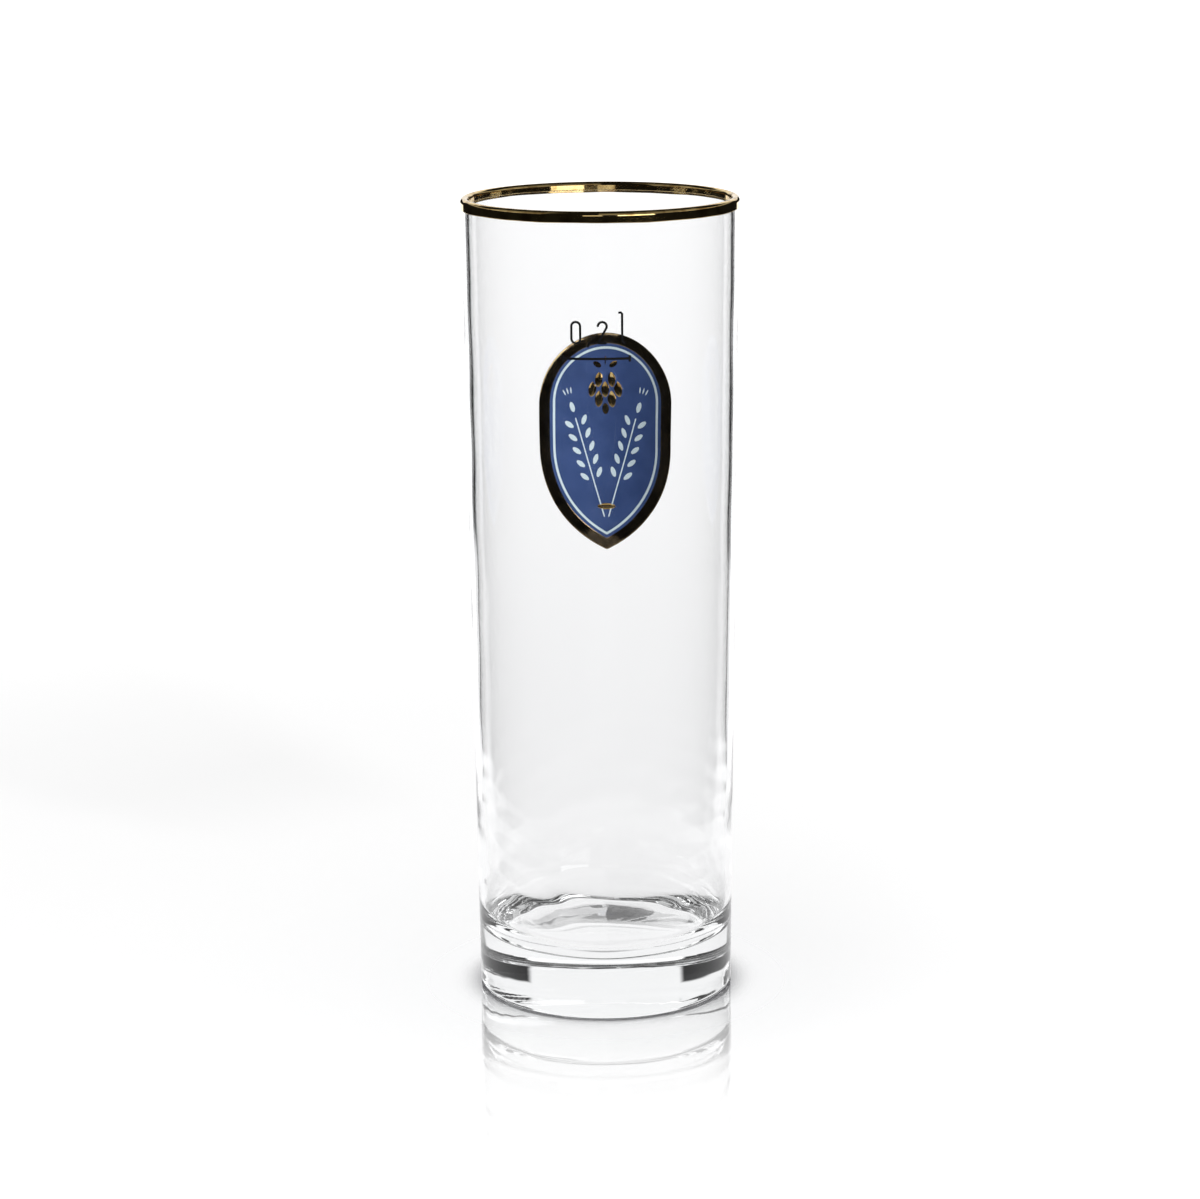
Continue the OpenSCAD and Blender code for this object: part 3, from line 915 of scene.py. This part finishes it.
def shell_finish():
    """The studio round the glass, dark but for what glows in it. Straight behind stands a backdrop, brighter
    towards the level and towards its lower flanks. Under it lies a pale table, which starts lower beside a
    pair of cards and on the flanks. A strip of sky runs round the back and the sides, a panel with a gap
    hangs over the camera, and a key and a fill box stand beside it. Metal and the table top also see a dark
    rail across the backdrop, and a dimmer sky and panel."""
    shell = material("studio_shell")
    unit = shell.node("ShaderNodeVectorMath", {"operation": "NORMALIZE"}, {0: shell.place()})
    x, y, z = shell.axes(unit)
    rise = z.math("ARCSINE", z, 0)
    off_plane = x.math("ARCSINE", abs(x), 0)
    from_back = x.math("ARCTAN2", abs(x), y)
    from_camera = x.math("ARCTAN2", x, 0 - y)
    clear = shell.ray("Transmission")
    above = shell.past(rise, 0, SHELL_BLUR)

    grown = shell.step(rise, BACKDROP_LOW, BACKDROP_HIGH) * (1 - above)
    level = BACKDROP_DIM + (BACKDROP_LIGHT - BACKDROP_DIM) * grown
    low_flank = shell.step(off_plane, FLARE_NEAR, FLARE_FAR) * shell.step(rise, FLARE_LOW, FLARE_HIGH)
    flare = 1 + FLARE * low_flank * (1 - above)
    rail = shell.between(rise, RAIL_LOW, RAIL_HIGH, SHARP_BLUR)
    rail = rail * shell.past(from_back, RAIL_START, SHELL_BLUR) * (1 - clear)
    spread = off_plane + above * (BACKDROP_HALF - BACKDROP_HALF_ABOVE)
    outline = 1 - shell.past(spread, BACKDROP_HALF, SHELL_BLUR)
    outline = outline * (1 - shell.past(rise, BACKDROP_TOP, SHELL_BLUR))
    outline = outline * shell.step(y, BEHIND_START, BEHIND_END)
    backdrop = outline * (1 - rail) * level * flare

    card = shell.past(from_back, CARD_START, SHARP_BLUR) * CARD_DROP
    flank = shell.step(from_back, FLANK_START, FLANK_END) * FLANK_DROP
    table = 1 - shell.step(rise + card + flank, TABLE_LOW, TABLE_HIGH)
    table = table * (1 - shell.step(from_back, TABLE_NEAR, TABLE_FAR))
    table = x.math("MAXIMUM", table, (1 - shell.step(rise, SHADE_LOW, SHADE_HIGH)) * TABLE_DIM)

    lid = METAL_SHARE + (1 - METAL_SHARE) * clear
    sky = SKY_LIGHT * shell.between(rise, SKY_LOW, SKY_HIGH, SHELL_BLUR)
    sky = sky * (1 - shell.past(from_back, SKY_END, SHELL_BLUR)) * lid
    panel = (PANEL_LIGHT * shell.between(rise, PANEL_LOW, PANEL_MIDDLE, SHELL_BLUR)
             + PANEL_DIM * shell.between(rise, PANEL_MIDDLE, PANEL_TOP, SHELL_BLUR))
    gap = shell.between(from_camera, GAP_LEFT, GAP_RIGHT, SHELL_BLUR)
    panel = panel * shell.past(from_back, PANEL_START, SHELL_BLUR) * (1 - gap) * lid

    boxes = (KEY_LIGHT * shell.between(from_camera, KEY_LEFT, KEY_RIGHT, SHELL_BLUR)
             + FILL_LIGHT * shell.between(from_camera, FILL_LEFT, FILL_RIGHT, SHELL_BLUR))
    boxes = boxes * shell.between(rise, BOX_LOW, BOX_HIGH, SHARP_BLUR)

    behind = x.math("MAXIMUM", backdrop, sky + TABLE_LIGHT * table)
    light = SHELL_DARK + behind + panel + boxes
    shell.owner.cycles.emission_sampling = "NONE"
    return shell.surface({
        "Base Color": BLACK,
        "Roughness": 1.0,
        "Specular IOR Level": 0.0,
        "Emission Color": shell.node("ShaderNodeVectorMath", {"operation": "SCALE"}, {
            0: SHELL_COLOUR, "Scale": light}),
        "Emission Strength": 1.0,
    })


def add_shell(camera):
    """The studio's shell: a ball round the glass, seen only in glass and metal."""
    section = arc((0, 0), SHELL_R, -QUARTER, QUARTER, SHELL_ROWS)[1:-1]
    shell = mesh_piece("studio_shell", (turned(section, SHELL_STEPS), False))
    shell.data.materials.append(shell_finish())
    shell.visible_camera = False
    shell.visible_diffuse = False
    shell.visible_shadow = False
    middle = Matrix.Translation((0, 0, LIP_Z / 2)) @ Matrix.Rotation(CAMERA_TURN, 4, "Z")
    carried_by(camera, shell, middle)


# The table top: its colours, with a painted contact shadow, its own glow, and the part of it that mirrors
# the foot
TOP_REACH = 4.0
TOP_WHITE, TOP_PAINTED_SHADOW = (0.8, 0.8, 0.8, 1), (0.12, 0.12, 0.13, 1)
CONTACT_REACH, CONTACT_SAMPLES = 8 * MM, 12
CONTACT_START, CONTACT_END = 0.4, 0.95
GLOW_NEAR, GLOW_FAR = 0.06, 0.8
GLOW_START, GLOW_END = 40 * MM, 1.0
WIDE_MIRROR, WIDE_START, WIDE_END = 0.45, 25 * MM, 110 * MM
FOOT_MIRROR, FOOT_START, FOOT_END = 0.35, 28 * MM, 50 * MM
MIRROR_ROUGH, MIRROR_SHADED = 0.03, 0.35
SLANT_BLEND, SLANT_START, SLANT_END = 0.5, 0.44, 0.6


def floor_finish():
    """A white glossy table top: it mirrors the foot of the glass at a slant, fades to plain white, and has a
    painted contact shadow where the foot touches it."""
    top = material("white_table")
    at = top.node("ShaderNodeVectorMath", {"operation": "LENGTH"}, {0: top.place()}, 1)
    # Painted contact shadow: ambient occlusion darkens the colour and cuts the glow and the mirror where the
    # glass stands close.
    open_sky = top.node("ShaderNodeAmbientOcclusion", {"samples": CONTACT_SAMPLES}, {
        "Distance": CONTACT_REACH}, "AO")
    free = top.step(open_sky, CONTACT_START, CONTACT_END)
    glow = GLOW_NEAR + GLOW_FAR * top.step(at, GLOW_START, GLOW_END)
    matt = top.node("ShaderNodeBsdfPrincipled", {}, {
        "Base Color": top.mix(free, TOP_PAINTED_SHADOW, TOP_WHITE),
        "Roughness": 1.0,
        "Specular IOR Level": 0.0,
        "Emission Color": top.mix(glow * free, BLACK, WHITE),
        "Emission Strength": 1.0,
    })
    mirror = top.node("ShaderNodeBsdfAnisotropic", {}, {"Color": WHITE, "Roughness": MIRROR_ROUGH})
    near = (WIDE_MIRROR * (1 - top.step(at, WIDE_START, WIDE_END))
            + FOOT_MIRROR * (1 - top.step(at, FOOT_START, FOOT_END)))
    facing = top.node("ShaderNodeLayerWeight", {}, {"Blend": SLANT_BLEND}, "Facing")
    share = near * top.step(facing, SLANT_START, SLANT_END) * (MIRROR_SHADED + (1 - MIRROR_SHADED) * free)
    both = top.node("ShaderNodeMixShader", {}, {0: share, 1: matt, 2: mirror})
    top.node("ShaderNodeOutputMaterial", {}, {"Surface": both})
    return top.owner


def add_floor():
    """The table top, a square level with the foot."""
    corners = [(x, y, 0) for x, y in ((-1, -1), (1, -1), (1, 1), (-1, 1))]
    mesh = bpy.data.meshes.new("table_top")
    mesh.from_pydata((TOP_REACH * np.array(corners)).tolist(), [], [(0, 1, 2, 3)])
    top = bpy.data.objects.new("table_top", mesh)
    bpy.context.scene.collection.objects.link(top)
    mesh.materials.append(floor_finish())
    top.visible_glossy = False
    top.visible_transmission = False
    return top


WORLD_LIGHT = 0.45


def add_world():
    """White behind everything, and a plain even light on matt surfaces."""
    world = bpy.data.worlds.new("studio")
    bpy.context.scene.world = world
    sky = Finish(world)
    seen = sky.ray("Camera")
    for kind in ("Glossy", "Transmission"):
        seen = seen.math("MAXIMUM", seen, sky.ray(kind))
    back = sky.node("ShaderNodeBackground", {}, {
        "Color": WHITE, "Strength": WORLD_LIGHT + (1 - WORLD_LIGHT) * seen})
    sky.node("ShaderNodeOutputWorld", {}, {"Surface": back})


# The lamps: where they stand, where they aim, their width and height in metres, and their watts
KEY_LAMP = (0.92, -1.02, 0.75), (0, 0, 0.09), (0.6, 0.8), 30.0
TOP_LAMP = (-0.3, -0.2, 1.5), (0, 0, 0.05), (1.2, 1.2), 7.0


def add_lamp(camera, name, spot, aim, size, power):
    """A soft box: a rectangular lamp at a spot, facing its aim."""
    lamp = bpy.data.lights.new(name, "AREA")
    lamp.shape = "RECTANGLE"
    lamp.size, lamp.size_y = size
    lamp.energy = power
    box = bpy.data.objects.new(name, lamp)
    bpy.context.scene.collection.objects.link(box)
    facing = (Vector(aim) - Vector(spot)).to_track_quat("-Z", "Y").to_matrix().to_4x4()
    carried_by(camera, box, Matrix.Translation(spot) @ facing)
    box.visible_glossy = False
    box.visible_transmission = False
    box.visible_camera = False
    return box


def shade_lamp(lamp, *left_out):
    """Lets every mesh shade a lamp but those left out, so that its light passes through clear glass."""
    opaque = bpy.data.collections.new("opaque_pieces")
    for piece in bpy.context.scene.objects:
        if piece.type == "MESH" and piece not in left_out:
            opaque.objects.link(piece)
    lamp.light_linking.blocker_collection = opaque


LIGHT_BOUNCES, GLOSS_BOUNCES = 24, 8


def set_render():
    """Plain colours, and enough bounces for light to pass through glass behind glass."""
    scene = bpy.context.scene
    scene.view_settings.view_transform = "Standard"
    scene.cycles.max_bounces = LIGHT_BOUNCES
    scene.cycles.transmission_bounces = LIGHT_BOUNCES
    scene.cycles.glossy_bounces = GLOSS_BOUNCES


camera = add_camera()
add_world()
table_top = add_floor()
add_shell(camera)
key_box = add_lamp(camera, "key_box", *KEY_LAMP)
add_lamp(camera, "top_box", *TOP_LAMP)

lip_gold = fired_gold("bright_gold", BRIGHT_GOLD, BRIGHT_THIN, BRIGHT_SPECKS, BRIGHT_BUMP, 0)
motif_gold = fired_gold("motif_gold", BRIGHT_GOLD, BRIGHT_THIN, BRIGHT_SPECKS, BRIGHT_BUMP, OUTER_ROUGH)
# The border's gold takes the darkened relief colours: painted shade for its dark reflections.
relief_gold = fired_gold("relief_gold", SHADED_RELIEF_GOLD, SHADED_RELIEF_THIN, RELIEF_SPECKS, RELIEF_BUMP, OUTER_ROUGH)
blue_enamel = fired_enamel("blue_enamel", BLUE, BLUE_DEEP, BLUE_ROUGH, ENAMEL_GLOSS)
white_enamel = fired_enamel("white_enamel", PALE, PALE_DEEP, PALE_ROUGH, ENAMEL_GLOSS)
black_enamel = fired_enamel("black_enamel", DARK, DARK_DEEP, DARK_ROUGH, DARK_GLOSS)

body = build_body(clear_glass())
build_rim(lip_gold)
build_emblem(motif_gold, relief_gold, blue_enamel, white_enamel)
build_mark(black_enamel)
build_figures(black_enamel)
shade_lamp(key_box, body, table_top)
set_render()
